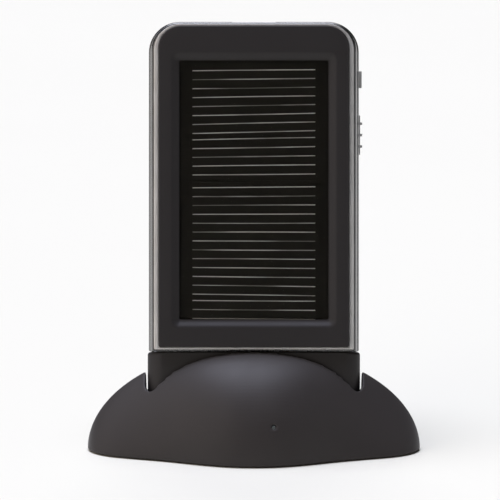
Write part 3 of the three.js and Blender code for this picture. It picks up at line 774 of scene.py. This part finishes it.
def dome(inset, foot, stations, steps):
    half = DOME["half"] - inset
    rings = []
    for i in range(stations + 1):
        x = half * math.sin(math.radians(-86 + 172 * i / stations))
        height = (DOME["height"] - inset) * math.sqrt(1 - (x / half) ** 2)
        exponent = 2 / section_power(x)
        ring = []
        for j in range(steps + 1):
            angle = math.pi * j / steps
            along = math.cos(angle)
            side = "front" if along > 0 else "rear"
            y = -math.copysign(1, along) * reach(x, side, inset) * abs(along) ** exponent
            ring.append((x, y, foot + (height - foot) * max(math.sin(angle), 0) ** exponent))
        rings.append(ring)
    return join_rings(rings)


def pocket(grow, low, high):
    """A prism along the pack's length with the pocket's outline; its points are in the pack's frame."""
    corner, depth = POCKET["corner"] + grow, POCKET["depth"] + grow
    outline = rounded_rectangle(POCKET["half"] + grow, -depth, depth, corner, corner)
    return join_rings([[(x, y, z) for x, y in outline] for z in (low, high)])


def dock_body():
    """The dome with its pocket, hollow below; every rim is softly rounded."""
    obj = mesh_object("dock_body", *dome(0, DOME["rim"], 150, 72), DOCK)
    points = [vert.co.copy() for vert in obj.data.vertices]
    outer = BVHTree.FromPolygons(points, [face.vertices for face in obj.data.polygons])
    cup = mesh_object("cup", *pocket(POCKET["wall"], POCKET["floor"] - POCKET["bottom"], 60), PACK)
    boolean(cup, [dome(0, DOME["rim"], 150, 72)], "INTERSECT", DOCK)
    boolean(obj, [dome(DOME["wall"], -2, 80, 40)])
    modifier = obj.modifiers.new("cup", "BOOLEAN")
    modifier.operation = "UNION"
    modifier.object = cup
    bpy.context.view_layer.update()
    apply_modifiers(obj)
    bpy.data.objects.remove(cup)
    boolean(obj, [pocket(0, POCKET["floor"], 60), box_parts(*PLUG_HOLE)], place=PACK)
    inlet = rounded_rectangle(INLET["half"] + 0.4, INLET["low"] - 0.4, INLET["high"] + 0.4, 0.6, 0.6, steps=4)
    inlet_hole = join_rings([[(x, y, z) for x, z in inlet] for y in (12.5, 40)])
    bore = STATUS_LIGHT["radius"] + 0.05
    light = turned(((bore, -40), (bore, -16)), "y", (STATUS_LIGHT["x"], STATUS_LIGHT["z"]))
    boolean(obj, [inlet_hole, light])
    remesh = obj.modifiers.new("even skin", "REMESH")
    remesh.mode = "VOXEL"
    remesh.voxel_size = SKIN_STEP * MM
    apply_modifiers(obj)
    relax(obj, outer)
    obj.data.shade_smooth()
    return piece(obj, "dock", "dock_black", "dock_shell")


def relax(obj, outer, rounds=12, near=0.25):
    """Smooths the skin, and lays all of it that is clear of a rim back onto the dome's true surface."""
    bm = bmesh.new()
    bm.from_mesh(obj.data)
    on_dome = [outer.find_nearest(vert.co)[3] < near * MM for vert in bm.verts]
    for _ in range(rounds):
        bmesh.ops.smooth_vert(
            bm, verts=bm.verts, factor=0.5, use_axis_x=True, use_axis_y=True, use_axis_z=True
        )
    weights = [1.0 if clear else 0.0 for clear in on_dome]

    def around(vert):
        return [weights[edge.other_vert(vert).index] for edge in vert.link_edges]

    for _ in range(RIM_RINGS):
        weights = [min([weights[vert.index]] + around(vert)) for vert in bm.verts]
    for _ in range(2):
        weights = [
            weights[vert.index]
            and (weights[vert.index] + sum(around(vert))) / (1 + len(vert.link_edges))
            for vert in bm.verts
        ]
    for vert, weight in zip(bm.verts, weights):
        if weight > 0:
            vert.co = vert.co.lerp(outer.find_nearest(vert.co)[0], weight)
    bm.to_mesh(obj.data)
    bm.free()


def rubber_feet():
    for i in range(1, 7):
        p = middle_of(f"foot_{i}") / MM
        radius = FOOT_RADIUS
        profile = [(0.02, 0.12), (radius - 1.1, 0.12), (radius - 0.9, 0.0), (radius - 0.25, 0.0)]
        profile += [(radius, 0.25), (radius, 0.95), (radius - 0.1, 1.0), (0.02, 1.0)]
        obj = mesh_object(f"rubber_foot_{i}", *turned(profile, "z", (p.x, p.y)))
        piece(obj, "dock", "rubber", f"foot_{i}")


def light_guides():
    """The four charge lights in the rear cover, with domed ends."""
    for i in range(1, 5):
        p = in_pack(f"light_pipe_{i}")
        profile = [(0.02, -1.1), (0.9, -1.1), (0.9, 5.7), (0.8, 5.82), (0.5, 5.9), (0.02, 5.93)]
        obj = mesh_object(f"charge_light_{i}", *turned(profile, "y", (p.x, p.z), 28), PACK)
        piece(obj, "pack", "lens", f"light_pipe_{i}")


def carried_over():
    """CAD nodes that keep their own shape get their look and softened edges."""
    softened = dict(
        check_button=0.5, slide_knob=0.14, usb_shell=0.1, usb_insert=0.1, plug_blade=0.25, plug_foot=0.2,
        inlet_socket=0.12, inlet_tongue=0.1, battery=1.2, battery_pad=0.3, main_board=0.08, dock_board=0.08,
        pack_socket=0.2, ballast_plate=0.4, base_plate=0.12, key_contact=0.2, slide_contact=0.2,
        window_pane=0.08, status_light_pipe=0.12, status_led=0.2,
    )
    for name, node in frame["nodes"].items():
        if node.hide_render:
            continue
        dress(node, SLOT_OF[name])
        smooth(node)
        if name in softened:
            soften(node, softened[name])


# ---------------------------------------------------------------- stage


def floor():
    """A wide pale floor."""
    size = 9000
    corners = [(-size, -size, 0), (size, -size, 0), (size, size, 0), (-size, size, 0)]
    obj = mesh_object("floor", corners, [(0, 1, 2, 3)])
    look = Look("floor")
    look.tint(look.colours(look.noise(300), ((0.3, (0.699, 0.683, 0.597)), (0.7, (0.705, 0.69, 0.603)))))
    look.set(Roughness=0.9, Specular_IOR_Level=0.1)
    obj.data.materials.append(look.material)


def soft_light(name, azimuth, elevation, strength, colour=(1, 1, 1), breadth=40):
    """A broad soft source; azimuth 0 is in front of the object, and 90 is to its right; all in degrees."""
    light = bpy.data.lights.new(name, "SUN")
    light.angle = math.radians(breadth)
    light.energy = strength
    light.color = colour
    obj = bpy.data.objects.new(name, light)
    bpy.context.scene.collection.objects.link(obj)
    around, up = math.radians(azimuth), math.radians(elevation)
    source = Vector((math.sin(around) * math.cos(up), -math.cos(around) * math.cos(up), math.sin(up)))
    obj.rotation_euler = (-source).to_track_quat("-Z", "Y").to_euler()


def studio():
    """A strong cool light overhead, a low warm one at the front left, and faint fills."""
    world = bpy.data.worlds.new("studio")
    bpy.context.scene.world = world
    world.use_nodes = True
    background = world.node_tree.nodes["Background"]
    background.inputs["Color"].default_value = (1, 0.95, 0.9, 1)
    background.inputs["Strength"].default_value = 0.03
    soft_light("overhead", 270, 85, 3.5, (0.935, 0.97, 1.16))
    soft_light("front left", 303, 14, 1.4, (1, 0.88, 0.78), breadth=80)
    soft_light("left", 270, 45, 0.36, (0.78, 0.83, 1))
    soft_light("right", 75, 14, 0.12)
    soft_light("behind", 180, 42, 0.6)


def camera():
    """Ten degrees above level, from straight in front."""
    data = bpy.data.cameras.new("camera")
    data.sensor_width = 36
    data.lens = 224.2
    data.clip_start, data.clip_end = 0.05, 60
    obj = bpy.data.objects.new("camera", data)
    bpy.context.scene.collection.objects.link(obj)
    distance, elevation = 0.9, math.radians(10)
    target = Vector((-1.12, 3.54, 58.1)) * MM
    back = Vector((0, -math.cos(elevation), math.sin(elevation)))
    obj.location = target + back * distance
    obj.rotation_euler = (-back).to_track_quat("-Z", "Y").to_euler()
    bpy.context.scene.camera = obj


face_plate()
polished_band()
back_cover()
end_cap()
slab_frame()
cell_fingers()
contacts()
screws()
light_guides()
dock_body()
rubber_feet()
carried_over()
floor()
studio()
camera()
bpy.context.scene.view_settings.view_transform = "Standard"

bpy.context.view_layer.update()
